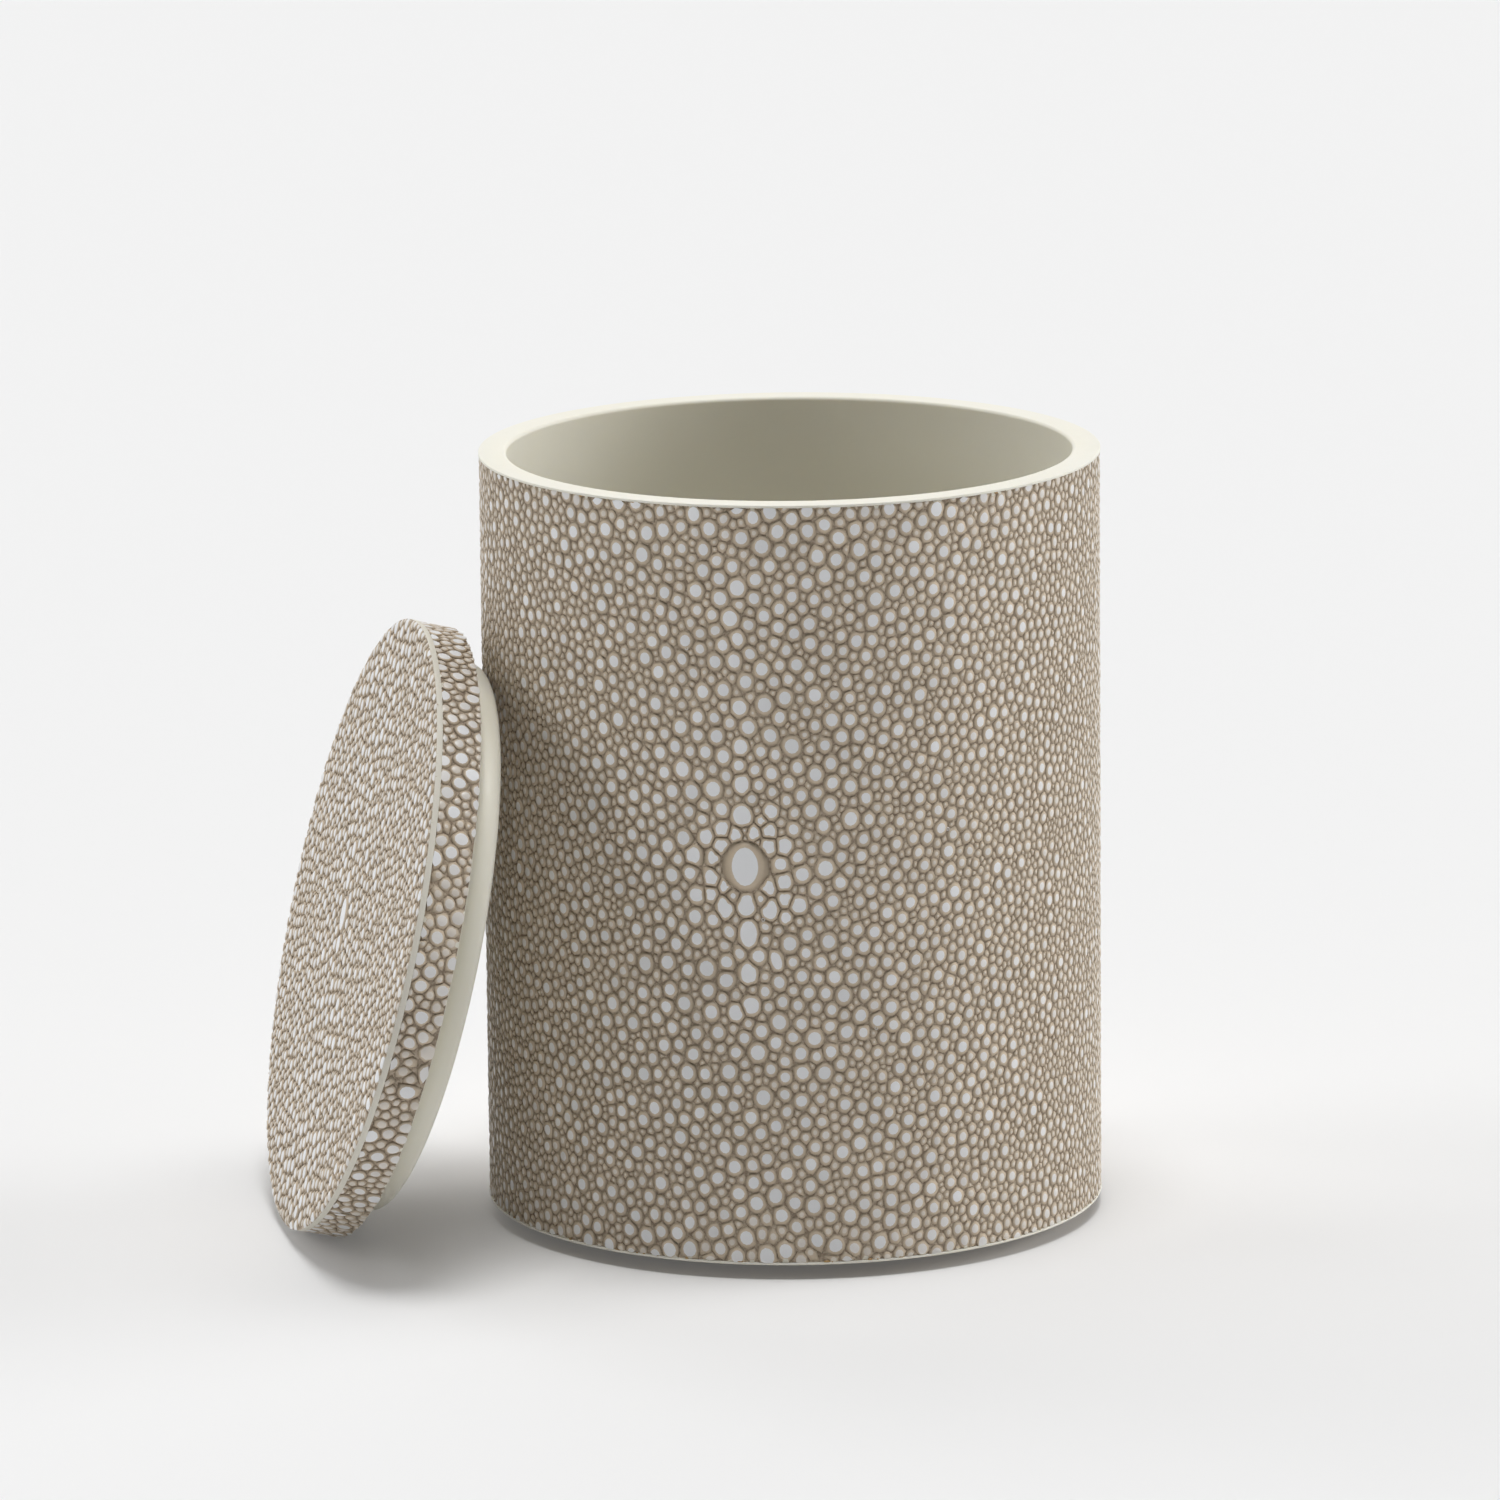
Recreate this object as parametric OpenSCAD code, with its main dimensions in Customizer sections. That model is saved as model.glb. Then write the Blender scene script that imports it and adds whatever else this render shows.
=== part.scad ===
// Round canister covered in a pebbled sheet, with its loose lid leaning against its side.
// Origin on the canister's axis, on the surface that it stands on. +Z is up.
// The lid leans from the -X side.

/* [Body] */
// Outside diameter of the canister and of its lid, over the sheet
outer_d = 102; // [80:1:160]
// Height of the body, from its underside to its rim
body_h = 125; // [90:1:200]
// Thickness of the cream wall behind the sheet
wall_t = 3.2; // [2.5:0.1:6]
// Thickness of the pebbled sheet
sheet_t = 1.4; // [0.8:0.1:2]
// Radius of the rounding on the rim's inner edge
rim_ease_r = 0.5; // [0.2:0.1:1.2]
// Thickness of the rim's lip, which runs out over the top of the sheet
rim_lip_t = 0.4; // [0.2:0.1:1.5]
// Width of the butt seam where a strip of sheet meets its own other end
seam_w = 0.2; // [0.1:0.1:1]
// Direction of the body's seam, counted from +X towards +Y
body_seam_deg = 69; // [0:1:359]

/* [Base] */
// Thickness of the base plate that the wall stands on, which is also the floor inside
base_t = 6; // [3:0.5:12]
// Thickness of the base plate's lip, which runs out under the sheet
base_lip_t = 0.4; // [0.2:0.1:1.5]
// Diameter of the foot pad
pad_d = 76; // [40:1:78]
// Thickness of the foot pad
pad_t = 2.4; // [1:0.1:5]

/* [Lid] */
// Thickness of the lid, from its underside to the top of its sheet
lid_t = 7.9; // [5:0.1:14]
// Depth of the plug below the lid's underside
plug_t = 5; // [3:0.1:12]
// Clearance between the plug and the mouth, all round
plug_clearance = 0.7; // [0.3:0.1:1.5]
// Radius of the rounding on the plug's lower edge
plug_ease_r = 1; // [0.3:0.1:2]

/* [Leaning lid] */
// Lean of the lid from upright
lean_deg = 13.9; // [8:0.1:25]
// Gap between the plug's edge and the sheet on the body
lean_gap = 0.3; // [0.2:0.1:1]
// Direction of the seam in the lid's edge band, counted round the lid from its top
band_seam_deg = 215; // [0:1:359]

/* [Hidden] */
$fn = 128;

cream = [0.93, 0.93, 0.87];
pebble = [0.68, 0.64, 0.6];
felt = [0.55, 0.52, 0.48];

// How far every cut runs past what it cuts
cut_run = 1;

outer_r = outer_d / 2;
wall_r = outer_r - sheet_t;
mouth_r = wall_r - wall_t;
plug_r = mouth_r - plug_clearance;
wall_h = body_h - base_t;
skin_h = body_h - base_lip_t - rim_lip_t;
core_t = lid_t - sheet_t;

// Centre of the lid's underside. Its lowest edge is on the table, and the plug's rounded
// edge is the gap away from the body.
lid_z = outer_r * cos(lean_deg);
lid_x = -(outer_r + lean_gap + plug_ease_r
          + (plug_r - plug_ease_r) * sin(lean_deg)
          + (plug_t - plug_ease_r) * cos(lean_deg));

// Places a child, drawn with the lid's underside at z = 0 and its top up, where the lid leans.
// The lid's own +X then points up along the lean.
module leaning() {
    translate([lid_x, 0, lid_z])
        rotate([0, lean_deg - 90, 0])
            children();
}

// Flat ring between two radii
module ring(r_in, r_out, h) {
    difference() {
        cylinder(r = r_out, h = h);
        translate([0, 0, -cut_run])
            cylinder(r = r_in, h = h + 2 * cut_run);
    }
}

// Strip of sheet bent round into a ring, open at its seam
module sheet_ring(h, seam_deg) {
    difference() {
        ring(wall_r, outer_r, h);
        rotate([0, 0, seam_deg])
            translate([wall_r - cut_run, -seam_w / 2, -cut_run])
                cube([sheet_t + 2 * cut_run, seam_w, h + 2 * cut_run]);
    }
}

// Section of a tube that stands on z = 0. Its inner upper edge is rounded, and a lip runs out
// at its top.
module lipped_tube_section(r_in, r_out, r_lip, h, lip, ease) {
    translate([r_in + ease, 0])
        square([r_out - r_in - ease, h]);
    translate([r_in, 0])
        square([r_out - r_in, h - ease]);
    translate([r_in + ease, h - ease])
        circle(r = ease);
    translate([r_in + ease, h - lip])
        square([r_lip - r_in - ease, lip]);
}

// Section of a disc that hangs below z = 0, its lower edge rounded
module eased_disc_section(r, h, ease) {
    translate([0, -h])
        square([r - ease, h]);
    translate([0, ease - h])
        square([r, h - ease]);
    translate([r - ease, ease - h])
        circle(r = ease);
}

module base_plate() {
    color(cream)
        translate([0, 0, pad_t]) {
            cylinder(r = outer_r, h = base_lip_t);
            cylinder(r = wall_r, h = base_t);
        }
}

module foot_pad() {
    color(felt)
        cylinder(d = pad_d, h = pad_t);
}

module body_wall() {
    color(cream)
        translate([0, 0, pad_t + base_t])
            rotate_extrude()
                lipped_tube_section(mouth_r, wall_r, outer_r, wall_h, rim_lip_t, rim_ease_r);
}

module body_skin() {
    color(pebble)
        translate([0, 0, pad_t + base_lip_t])
            sheet_ring(skin_h, body_seam_deg);
}

module lid_core() {
    color(cream)
        leaning()
            cylinder(r = wall_r, h = core_t);
}

module lid_plug() {
    color(cream)
        leaning()
            rotate_extrude()
                eased_disc_section(plug_r, plug_t, plug_ease_r);
}

module lid_edge_band() {
    color(pebble)
        leaning()
            sheet_ring(core_t, band_seam_deg);
}

module lid_top_skin() {
    color(pebble)
        leaning()
            translate([0, 0, core_t])
                cylinder(r = outer_r, h = sheet_t);
}

base_plate();
foot_pad();
body_wall();
body_skin();
lid_core();
lid_plug();
lid_edge_band();
lid_top_skin();
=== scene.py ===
import bpy
import numpy as np
from mathutils import Matrix


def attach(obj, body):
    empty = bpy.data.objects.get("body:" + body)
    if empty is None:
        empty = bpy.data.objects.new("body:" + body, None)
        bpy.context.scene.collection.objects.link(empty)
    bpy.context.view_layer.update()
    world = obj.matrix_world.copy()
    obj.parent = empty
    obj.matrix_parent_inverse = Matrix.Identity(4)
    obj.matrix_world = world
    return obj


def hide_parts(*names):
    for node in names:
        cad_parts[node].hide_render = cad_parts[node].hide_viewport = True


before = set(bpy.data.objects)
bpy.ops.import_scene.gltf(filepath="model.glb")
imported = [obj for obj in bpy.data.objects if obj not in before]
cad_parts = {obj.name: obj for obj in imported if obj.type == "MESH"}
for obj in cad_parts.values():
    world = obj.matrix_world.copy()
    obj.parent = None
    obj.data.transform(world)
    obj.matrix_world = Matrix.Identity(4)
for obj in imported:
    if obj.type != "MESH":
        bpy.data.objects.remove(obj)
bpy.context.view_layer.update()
mm = 0.001

# Camera. The canister was photographed from a little above, with a long lens far off,
# so the rim shows as a flat oval and the sides stay upright.
turn = np.radians(11.359)
tilt = np.radians(12.226)
roll = np.radians(-0.551)
distance = 1660.5 * mm
aim_aside = -6.899 * mm
aim_height = 76.686 * mm
sensor_w = 36
lens = sensor_w * 10062.1 / 1500

level_ahead = np.array([np.sin(turn), np.cos(turn), 0])
aside = np.array([np.cos(turn), -np.sin(turn), 0])
ahead = np.cos(tilt) * level_ahead - np.array([0, 0, np.sin(tilt)])
above = np.cross(aside, ahead)
camera_x = np.cos(roll) * aside + np.sin(roll) * above
camera_y = np.cos(roll) * above - np.sin(roll) * aside
stand = aim_aside * aside + np.array([0, 0, aim_height]) - distance * ahead


def stood(name, data, axes, place):
    """A new object in the scene, with its own three axes and its place as given."""
    thing = bpy.data.objects.new(name, data)
    bpy.context.scene.collection.objects.link(thing)
    turned = np.eye(4)
    turned[:3, :3] = np.stack(axes, 1)
    turned[:3, 3] = place
    thing.matrix_world = Matrix(turned.tolist())
    return thing


camera_data = bpy.data.cameras.new("camera")
camera_data.sensor_width = sensor_w
camera_data.lens = lens
camera = stood("camera", camera_data, [camera_x, camera_y, -ahead], stand)
bpy.context.scene.camera = camera
bpy.context.scene.view_settings.view_transform = "Standard"


# Studio. A pale seamless floor under very soft lamps: two overhead, two on the right, one on
# the left, and two behind. The brightest are overhead, so the shadows on the floor are short.
paper = 0.896
paper_white = (paper, paper, paper, 1)
sky_strength = 0.03


def wired(tree, kind, sockets=None, **settings):
    """Adds a node of this kind, sets its properties, and fills or links its sockets."""
    made = tree.nodes.new(kind)
    for name, value in settings.items():
        setattr(made, name, value)
    for name, value in (sockets or {}).items():
        if isinstance(value, bpy.types.NodeSocket):
            tree.links.new(value, made.inputs[name])
        else:
            made.inputs[name].default_value = value
    return made


def empty_tree(owner):
    """The node tree of a world or a material, with nothing in it."""
    owner.use_nodes = True
    owner.node_tree.nodes.clear()
    return owner.node_tree


def maths(tree, operation, first, second):
    """One step of arithmetic between two sockets or numbers."""
    return wired(tree, "ShaderNodeMath", {0: first, 1: second}, operation=operation).outputs[0]


def seen_rays(tree):
    """1 for a ray from the camera, through glass or off a polished face, and 0 for others."""
    rays = wired(tree, "ShaderNodeLightPath").outputs
    clear = maths(tree, "MAXIMUM", rays["Is Camera Ray"], rays["Is Transmission Ray"])
    return maths(tree, "MAXIMUM", clear, rays["Is Glossy Ray"])


world = bpy.data.worlds.new("studio_sky")
bpy.context.scene.world = world
sky = empty_tree(world)
sky_light = wired(sky, "ShaderNodeBackground", {"Color": (1, 1, 1, 1), "Strength": sky_strength})
sky_seen = wired(sky, "ShaderNodeBackground", {"Color": paper_white, "Strength": 1.0})
both = wired(
    sky,
    "ShaderNodeMixShader",
    {0: seen_rays(sky), 1: sky_light.outputs[0], 2: sky_seen.outputs[0]},
)
wired(sky, "ShaderNodeOutputWorld", {"Surface": both.outputs[0]})

# Each lamp: where it shines from (aside, back, up), its strength and its width in degrees.
lamps = (
    ("overhead", (0, -0.1, 1.0), 1.42, 20),
    ("overhead_right", (0.3, 0, 1.0), 0.60, 30),
    ("right", (1.0, 0.1, 0.3), 1.00, 30),
    ("low_right", (1.0, -0.1, 0.15), 1.00, 60),
    ("left", (-1.0, 0.15, 0.4), 0.77, 30),
    ("left_back", (-0.8, 1.0, 0.7), 0.52, 30),
    ("back", (0, 1.0, 0.5), 0.58, 60),
)
lamp_away = 2
for name, way, strength, wide in lamps:
    lamp_data = bpy.data.lights.new(name, "SUN")
    lamp_data.energy = strength
    lamp_data.angle = np.radians(wide)
    back = np.array(way) / np.linalg.norm(way)
    lamp_x = np.cross((0, 1, 0), back)
    lamp_x /= np.linalg.norm(lamp_x)
    lamp = stood(name, lamp_data, [lamp_x, np.cross(back, lamp_x), back], lamp_away * back)
    # The lamps behind stand for the bright backdrop, which reflections already show.
    lamp.visible_glossy = way[1] <= 0

# The floor is the same paper. The lamps light it to floor_level, so its own colour is the
# paper's over that. A small share of what the camera sees is plain paper white.
floor_reach = 40
floor_z = -0.02 * mm
floor_level = 1.075
glow_share = 0.10
floor_corners = [
    (side_x * floor_reach, side_y * floor_reach, floor_z)
    for side_x, side_y in ((-1, -1), (1, -1), (1, 1), (-1, 1))
]
floor_mesh = bpy.data.meshes.new("floor")
floor_mesh.from_pydata(floor_corners, [], [(0, 1, 2, 3)])
floor = stood("floor", floor_mesh, np.eye(3), (0, 0, 0))
floor_paint = bpy.data.materials.new("floor_paper")
floor_tree = empty_tree(floor_paint)
lit = paper / floor_level
floor_white = wired(floor_tree, "ShaderNodeBsdfDiffuse", {"Color": (lit, lit, lit, 1)})
floor_glow = wired(floor_tree, "ShaderNodeEmission", {"Color": paper_white, "Strength": 1.0})
glow = maths(floor_tree, "MULTIPLY", seen_rays(floor_tree), glow_share)
floor_mix = wired(
    floor_tree,
    "ShaderNodeMixShader",
    {0: glow, 1: floor_white.outputs[0], 2: floor_glow.outputs[0]},
)
wired(floor_tree, "ShaderNodeOutputMaterial", {"Surface": floor_mix.outputs[0]})
floor_mesh.materials.append(floor_paint)


# The tube is one thick ring of cast cream resin, turned and polished. Its rim is flat,
# with the inner edge eased, and a thin lip of it covers the top of the pebbled sheet.
outer_r = 51 * mm
sheet_t = 1.4 * mm
rim_lip_t = 0.4 * mm
wall_r = outer_r - sheet_t
mouth_r = 46.4 * mm
body_top = 127.4 * mm
floor_top = 8.4 * mm
steps_round = 240


def eased(corners, radii, bends=5, hold=0.12 * mm):
    """A closed profile with each corner rounded. The arc's centre lies on the corner's
    bisector at radius / sin(half angle), its points are that far along the blended
    directions to the two tangent points, and one more point either side holds the flat."""
    corners = np.array(corners, float)
    radii = np.array(radii, float)[:, None]
    before = np.roll(corners, 1, 0) - corners
    after = np.roll(corners, -1, 0) - corners
    before /= np.linalg.norm(before, axis=1, keepdims=True)
    after /= np.linalg.norm(after, axis=1, keepdims=True)
    half = np.arccos((before * after).sum(1, keepdims=True).clip(-1, 1)) / 2
    tangent = radii / np.tan(half)
    inward = before + after
    inward /= np.linalg.norm(inward, axis=1, keepdims=True)
    centre = corners + inward * radii / np.sin(half)
    start = corners + before * tangent - centre
    end = corners + after * tangent - centre
    blend = np.linspace(0, 1, bends)[None, :, None]
    arc = start[:, None] * (1 - blend) + end[:, None] * blend
    arc *= radii[:, None] / np.linalg.norm(arc, axis=2, keepdims=True)
    first = corners + before * (tangent + hold)
    last = corners + after * (tangent + hold)
    whole = np.concatenate([first[:, None], centre[:, None] + arc, last[:, None]], 1)
    return whole.reshape(-1, 2)


def shown(name, points, faces, body, slot, material):
    """Puts the points and the face lists, each an array of corners, into a new piece."""
    corners = np.concatenate([f.ravel() for f in faces]).astype(np.int32)
    sizes = np.concatenate([np.full(len(f), f.shape[1]) for f in faces]).astype(np.int32)
    mesh = bpy.data.meshes.new(name)
    mesh.vertices.add(len(points))
    mesh.vertices.foreach_set("co", points.astype(np.float32).ravel())
    mesh.loops.add(len(corners))
    mesh.loops.foreach_set("vertex_index", corners)
    mesh.polygons.add(len(sizes))
    mesh.polygons.foreach_set("loop_start", (np.cumsum(sizes) - sizes).astype(np.int32))
    mesh.polygons.foreach_set("use_smooth", np.ones(len(sizes), bool))
    mesh.update(calc_edges=True)
    piece = bpy.data.objects.new(name, mesh)
    bpy.context.scene.collection.objects.link(piece)
    mesh.materials.append(material)
    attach(piece, body)
    return piece


def ring_faces(rows, columns):
    """Quads between the points of a grid that closes both ways, as a ring's surface does."""
    row, column = np.meshgrid(np.arange(rows), np.arange(columns), indexing="ij")
    across = (column + 1) % columns
    down = (row + 1) % rows * columns
    row = row * columns
    corners = [row + column, row + across, down + across, down + column]
    return np.stack(corners, 2).reshape(-1, 4)


def turned_ring(profile, angles):
    """A profile of (radius, height), anticlockwise, carried round the upright axis."""
    radius, height = profile[:, :1], profile[:, 1:] + 0 * angles
    return np.stack([radius * np.cos(angles), radius * np.sin(angles), height], 2).reshape(-1, 3)


def marked(piece, label, domain, values):
    """Stores a number on each point or face, which a material reads by its label."""
    layer = piece.data.attributes.new(label, "FLOAT", domain)
    layer.data.foreach_set("value", np.asarray(values, np.float32))


def object_place(tree):
    """A point's place in the shared frame, in metres."""
    return wired(tree, "ShaderNodeTexCoord").outputs["Object"]


def noise(tree, scale, detail=2.0, roughness=0.5, distortion=0.0):
    """A cloudy noise over the object, about 1 / scale metres from cloud to cloud."""
    sockets = {"Vector": object_place(tree), "Scale": scale, "Detail": detail}
    sockets.update({"Roughness": roughness, "Distortion": distortion})
    return wired(tree, "ShaderNodeTexNoise", sockets).outputs["Fac"]


def ranged(tree, value, low, high, low_out=0.0, high_out=1.0):
    """Maps low to low_out and high to high_out, with no more at either end."""
    sockets = {"Value": value, 1: low, 2: high, 3: low_out, 4: high_out}
    return wired(tree, "ShaderNodeMapRange", sockets).outputs[0]


def blended(tree, share, first, second):
    """The first colour where the share is 0, and the second where it is 1."""
    sockets = {0: share, 6: first, 7: second}
    return wired(tree, "ShaderNodeMix", sockets, data_type="RGBA").outputs[2]


def bumped(tree, height, strength, depth):
    """The normal of a surface as uneven as this height."""
    sockets = {"Height": height, "Strength": strength, "Distance": depth}
    return wired(tree, "ShaderNodeBump", sockets).outputs["Normal"]


def surfaced(tree, sockets):
    """Ends the material in one Principled surface."""
    surface = wired(tree, "ShaderNodeBsdfPrincipled", sockets)
    wired(tree, "ShaderNodeOutputMaterial", {"Surface": surface.outputs[0]})


# Painted shade: a dark brown for the canister's underside, which darkens and warms the shadow
# under it.
underside_shade_brown = (0.40, 0.31, 0.18, 1)


def resin(name, colour, deep, gloss, shade_below=-1.0):
    """Cast resin: a milky colour that clouds slightly from place to place, a soft polish
    with faint scuffs, and a little light passing under the surface. Below the given height
    it is painted dark brown, as painted shade that darkens and warms the shadow beneath."""
    paint = bpy.data.materials.new(name)
    tree = empty_tree(paint)
    cloudy = ranged(tree, noise(tree, 28.0, 3.0), 0.35, 0.68)
    clouded = blended(tree, cloudy, colour, deep)
    height = wired(tree, "ShaderNodeSeparateXYZ", {"Vector": object_place(tree)}).outputs["Z"]
    # Painted shade: below that height the colour turns dark brown.
    under_shade = ranged(tree, height, shade_below, shade_below + 0.04 * mm, 1.0, 0.0)
    scuff = noise(tree, 420.0, 5.0, 0.6)
    surfaced(
        tree,
        {
            "Base Color": blended(tree, under_shade, clouded, underside_shade_brown),
            "Roughness": ranged(tree, scuff, 0.3, 0.7, gloss - 0.05, gloss + 0.09),
            "Normal": bumped(tree, scuff, 0.12, 0.02 * mm),
            "IOR": 1.5,
            "Subsurface Weight": 0.25,
            "Subsurface Radius": (1.0, 0.9, 0.7),
            "Subsurface Scale": 1.2 * mm,
        },
    )
    return paint


cream_light = (0.826, 0.803, 0.712, 1)
cream_deep = (0.806, 0.780, 0.674, 1)
cream_gloss = 0.46
cream = resin("cream_resin", cream_light, cream_deep, cream_gloss)

angles = np.arange(steps_round) * 2 * np.pi / steps_round
wall_profile = eased(
    [
        (wall_r, floor_top),
        (wall_r, body_top - rim_lip_t),
        (outer_r, body_top - rim_lip_t),
        (outer_r, body_top),
        (mouth_r, body_top),
        (mouth_r, floor_top),
    ],
    [0.05 * mm, 0.02 * mm, 0.04 * mm, 0.1 * mm, 0.5 * mm, 0.05 * mm],
)
body_wall = shown(
    "resin_wall",
    turned_ring(wall_profile, angles),
    [ring_faces(len(wall_profile), steps_round)],
    "canister",
    "cream_resin",
    cream,
)
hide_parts("body_wall")


# The bottom is a disc of the same resin, glued into the tube's foot. A thin lip of it
# runs out under the sheet and shows as a pale line round the canister's lower edge.
foot_z = 2.4 * mm
lip_t = 0.4 * mm
plain_r = 20 * mm


def turned_disc(profile, angles):
    """A profile of (radius, height) from the axis to the axis, carried round. Its first and
    last points become the poles, which triangles join to the nearest rings."""
    rows, columns = len(profile) - 2, len(angles)
    poles = np.array([(0, 0, profile[0, 1]), (0, 0, profile[-1, 1])])
    points = np.concatenate([turned_ring(profile[1:-1], angles), poles])
    quads = ring_faces(rows, columns)[:-columns]
    column = np.arange(columns)
    across = (column + 1) % columns
    low_pole = np.full(columns, rows * columns)
    top = (rows - 1) * columns
    low_cap = np.stack([low_pole, across, column], 1)
    top_cap = np.stack([low_pole + 1, top + column, top + across], 1)
    return points, [quads, low_cap, top_cap]


# The lip's edge, in millimetres out from the sheet's face and up from the underside.
lip_low = [(-0.3, 0), (-0.16, 0.01), (-0.06, 0.06), (-0.01, 0.15)]
lip_edge = [*lip_low, (-0.01, 0.33), (-0.05, lip_t / mm), (-0.4, lip_t / mm)]
plate_profile = np.array(
    [
        (0, foot_z),
        (plain_r, foot_z),
        *(np.array(lip_edge) * mm + (outer_r, foot_z)),
        (wall_r, foot_z + lip_t),
        (wall_r, foot_z + lip_t + 0.05 * mm),
        (wall_r, floor_top),
        (mouth_r, floor_top),
        (plain_r, floor_top),
        (0, floor_top),
    ]
)
# Its underside is painted dark brown: painted shade, which darkens and warms the shadow under the
# canister.
base_plate = shown(
    "resin_bottom",
    *turned_disc(plate_profile, angles),
    "canister",
    "cream_resin",
    resin("bottom_resin", cream_light, cream_deep, cream_gloss, foot_z + 0.03 * mm),
)
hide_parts("base_plate")


# A disc of pressed wool felt, stuck under the bottom so the canister doesn't scratch what
# it stands on. It is set well in, so it only shows as a shadow.
pad_r = 38 * mm
ragged_by = 0.05 * mm


def felt():
    """Pressed wool: two soft browns mixed by a stretched noise that follows the fibres, with
    a rough surface of short hairs."""
    paint = bpy.data.materials.new("brown_felt")
    tree = empty_tree(paint)
    fibre = noise(tree, 900.0, 8.0, 0.7, 2.5)
    spread = maths(tree, "ADD", fibre, noise(tree, 160.0, 4.0))
    share = ranged(tree, spread, 0.75, 1.25)
    surfaced(
        tree,
        {
            "Base Color": blended(tree, share, (0.17, 0.14, 0.10, 1), (0.31, 0.26, 0.19, 1)),
            "Roughness": 0.95,
            "Normal": bumped(tree, spread, 0.9, 0.15 * mm),
            "Sheen Weight": 0.35,
            "Sheen Roughness": 0.5,
        },
    )
    return paint


flat_rings = np.linspace(0, pad_r - 0.5 * mm, 40)
pad_edge = np.array([(-0.2, 0.08), (0, 0.5), (-0.05, 1.2), (0, 1.9)]) * mm + (pad_r, 0)
pad_top = [(pad_r - 0.3 * mm, foot_z), (0, foot_z)]
pad_profile = np.concatenate([np.stack([flat_rings, 0 * flat_rings], 1), pad_edge, pad_top])
pad_points, pad_faces = turned_disc(pad_profile, angles)
ragged = np.random.default_rng(5).normal(0, ragged_by, len(pad_points))
pad_out = np.hypot(pad_points[:, 0], pad_points[:, 1])
pad_points[:, :2] *= (1 - np.abs(ragged) / np.maximum(pad_out, pad_r / 2))[:, None]
foot_pad = shown("felt_pad", pad_points, pad_faces, "canister", "felt", felt())
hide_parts("foot_pad")


# The body's sheet is moulded resin like ray skin: a pale backing covered in rounded
# pebbles. Brown glaze fills the gaps, and the tops are sanded flat and left white. It is
# wrapped round the tube and butted at the back, and its big pebbles run down the front.
sheet_low = foot_z + lip_t
sheet_top = body_top - rim_lip_t
spine_turn = np.radians(249.67)
seam_turn = np.radians(69)
seam_w = 0.2 * mm
half_seam = seam_w / 2 / outer_r
valley = 0.3 * mm
size_large, size_small, size_spread = 1.0, 0.54, 0.13
directions_large, directions_small, directions_spine = 12, 8, 24
box_w = 5.2 * mm
speck = 1e-9


def nearest(centres, count):
    """The nearest others to each centre, and whether each is a real one. The centres are
    sorted into square boxes, and each looks through its own box and the eight round it."""
    box = ((centres - centres.min(0)) / box_w).astype(int) + 1
    across = box[:, 1].max() + 2
    flat = box[:, 0] * across + box[:, 1]
    order = np.argsort(flat, kind="stable")
    held = flat[order]
    rank = np.arange(len(flat)) - np.searchsorted(held, held)
    table = np.full(((box[:, 0].max() + 2) * across, rank.max() + 1), -1)
    table[held, rank] = order
    steps = (np.arange(-1, 2)[:, None] * across + np.arange(-1, 2)).ravel()
    found = table[flat[:, None] + steps].reshape(len(flat), -1)
    far = ((centres[found] - centres[:, None]) ** 2).sum(2)
    far[(found < 0) | (found == np.arange(len(flat))[:, None])] = np.inf
    pick = np.argpartition(far, count, axis=1)[:, :count]
    return np.take_along_axis(found, pick, 1), np.isfinite(np.take_along_axis(far, pick, 1))


def settled(centres, radii_of, swell, rounds, held):
    """Pushes overlapping pebbles apart, as if each were swollen. Each of a pair moves along
    the line between them by about half their overlap, the smaller one more, by the square
    of the other's radius, and never by more than half its own radius. Held ones stay."""
    for k in range(rounds):
        if k % 5 == 0:
            radii = radii_of(centres) * swell
            others, real = nearest(centres, count=24)
        gap = centres[others] - centres[:, None]
        apart = np.sqrt((gap**2).sum(2)) + speck
        over = np.where(real, (radii[:, None] + radii[others] - apart).clip(0), 0)
        share = radii[others] ** 2 / (radii[:, None] ** 2 + radii[others] ** 2)
        move = -(gap / apart[:, :, None] * (0.55 * over * share)[:, :, None]).sum(1)
        length = np.sqrt((move**2).sum(1)) + 1e-12
        move *= np.minimum(1, 0.5 * radii / length)[:, None]
        move[:held] = 0
        centres = centres + move
    return centres


def ways_from(starts, count):
    """Unit directions all round, the first at each start angle."""
    angles = starts[:, None] + np.arange(count) * 2 * np.pi / count
    return np.stack([np.cos(angles), np.sin(angles)], 2)


def cells(centres, radii, ways):
    """How far each pebble reaches along each of its ways before it meets a neighbour. The
    border of two pebbles is the straight line where distance squared less radius squared
    is equal, which cuts a way at (d^2 + r^2 - other r^2) / (2 d cos(angle between))."""
    least_facing, out_of_reach = 0.02, 9 * mm
    others, real = nearest(centres, count=30)
    gap = centres[others] - centres[:, None]
    apart = np.sqrt((gap**2).sum(2)) + speck
    border = (apart**2 + radii[:, None] ** 2 - radii[others] ** 2) / (2 * apart)
    facing = np.einsum("nkc,njc->nkj", ways, gap / apart[:, :, None])
    meets = (facing > least_facing) & real[:, None]
    reach = np.where(meets, border[:, None] / np.maximum(facing, least_facing), out_of_reach)
    return reach.min(2)


def centred(centres, radii_of, held):
    """Moves each pebble 0.8 of the way to the middle of its cell, which closes the voids.
    That middle is 2/3 of the sum of reach^3 times its way, over the sum of reach^2."""
    radii = radii_of(centres)
    ways = ways_from(np.zeros(len(centres)), 12)
    reach = cells(centres, radii, ways).clip(0.05 * mm, 1.8 * radii[:, None])
    drift = (reach[:, :, None] ** 3 * ways).sum(1) / (1.5 * (reach**2).sum(1))[:, None]
    drift[:held] = 0
    return centres + 0.8 * drift


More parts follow.
